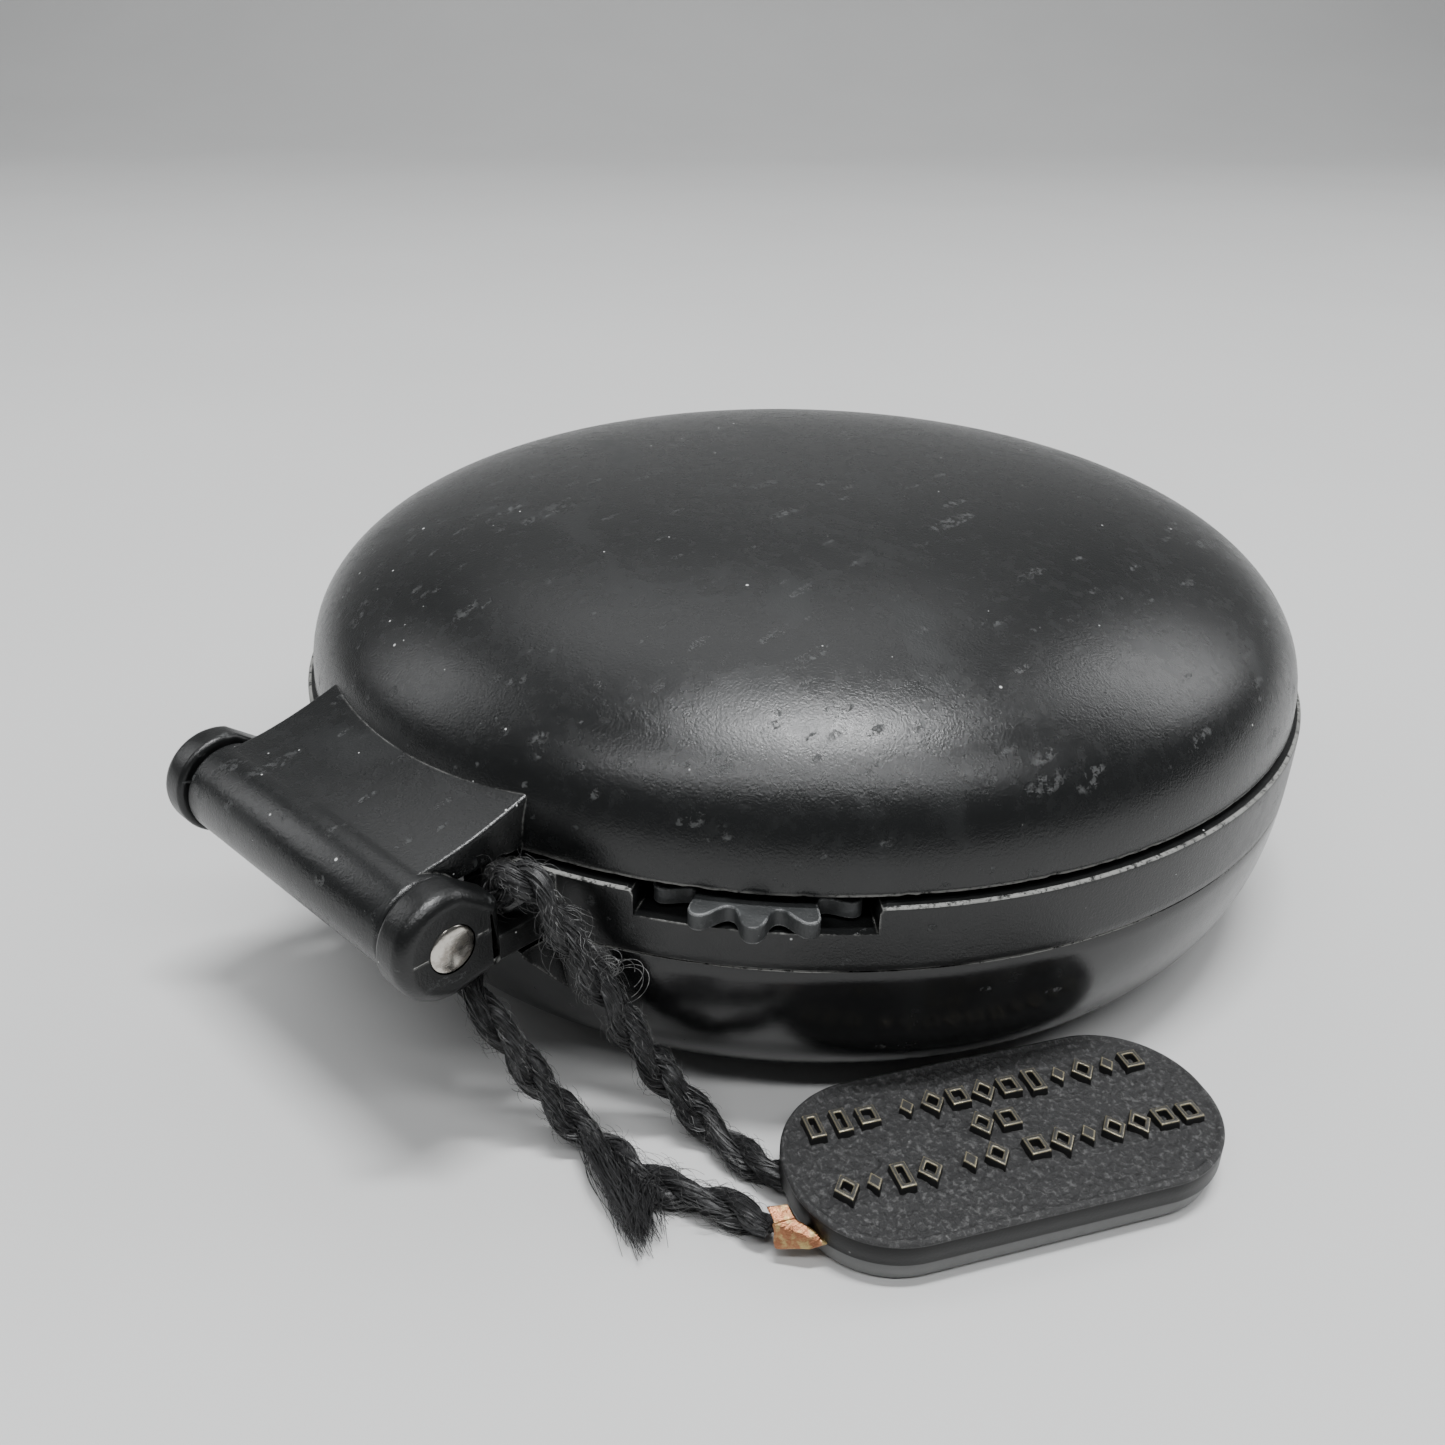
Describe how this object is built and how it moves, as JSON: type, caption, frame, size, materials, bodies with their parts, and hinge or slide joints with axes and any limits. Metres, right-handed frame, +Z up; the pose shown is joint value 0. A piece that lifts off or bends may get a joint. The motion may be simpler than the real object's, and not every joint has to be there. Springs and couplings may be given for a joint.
{
  "type": "sighting compass",
  "caption": "Round pocket sighting compass with a domed hinged mirror lid, a thumbwheel-driven azimuth dial and a seal tag on a yarn lanyard.",
  "frame": {"origin": "centre of the flat base, on the dial's axis", "axes": "+Z up through the lid, -Y towards the lid hinge, +X towards the lanyard and its tag"},
  "size_m": [0.0784, 0.0794, 0.0282],
  "materials": {
    "case_plastic": "satin, fine-grained moulding, scuffed",
    "shell_plastic": "semi-gloss moulding",
    "dial_plastic": "satin, dusty edges",
    "polished_steel": "polished",
    "screw_steel": "turned",
    "luminous_mark": "luminous paint",
    "yarn": "fuzzy two-ply yarn",
    "tag_black": "coarse spark-eroded face with raised marks",
    "tag_grey": "satin",
    "copper": "tarnished copper sheet",
    "mirror": "silvered glass",
    "pad_foam": "closed-cell foam",
    "dark_print": "printed line",
    "clear_plastic": "clear acrylic",
    "card_white": "printed card",
    "needle_paint": "red and white paint",
    "brass": "turned",
    "jewel": "polished"
  },
  "bodies": {
    "case": {"lower_shell": "shell_plastic", "upper_case": "case_plastic", "bezel_ring": "case_plastic", "index_mark": "luminous_mark", "thumbwheel_axle": "polished_steel", "hinge_pin": "polished_steel", "lanyard_cord": "yarn", "tag_base": "tag_grey", "tag_face": "tag_black", "tag_crimp": "copper", "case_screw_1": "screw_steel", "case_screw_2": "screw_steel", "case_screw_3": "screw_steel", "bezel_screw_1": "screw_steel", "bezel_screw_2": "screw_steel", "bezel_screw_3": "screw_steel"},
    "lid": {"lid_shell": "case_plastic", "mirror_frame": "case_plastic", "lid_mirror": "mirror", "mirror_pad": "pad_foam", "sighting_line": "dark_print"},
    "dial": {"azimuth_dial": "dial_plastic", "dial_snap_ring": "screw_steel", "capsule_bowl": "clear_plastic", "capsule_lens": "clear_plastic", "orienting_plate": "card_white", "pivot_pin": "polished_steel"},
    "thumbwheel": {"thumbwheel": "dial_plastic"},
    "needle": {"magnetic_needle": "needle_paint", "needle_hub": "brass", "pivot_jewel": "jewel"}
  },
  "joints": [
    {"name": "lid_hinge", "type": "hinge", "parent": "case", "child": "lid", "pos_m": [0, -0.04066, 0.01462], "axis": [1, 0, 0], "range_deg": [0, 180]},
    {"name": "dial_turn", "type": "hinge", "parent": "case", "child": "dial", "pos_m": [0, 0, 0.015], "axis": [0, 0, 1], "continuous": true},
    {"name": "thumbwheel_turn", "type": "hinge", "parent": "case", "child": "thumbwheel", "pos_m": [0.0188, -0.02415, 0.0147], "axis": [0, 0, 1], "continuous": true},
    {"name": "needle_swing", "type": "hinge", "parent": "dial", "child": "needle", "pos_m": [0, 0, 0.01195], "axis": [0, 0, 1], "continuous": true}
  ],
  "couplings": [
    {"joint": "thumbwheel_turn", "follows": "dial_turn", "ratio": -4}
  ]
}
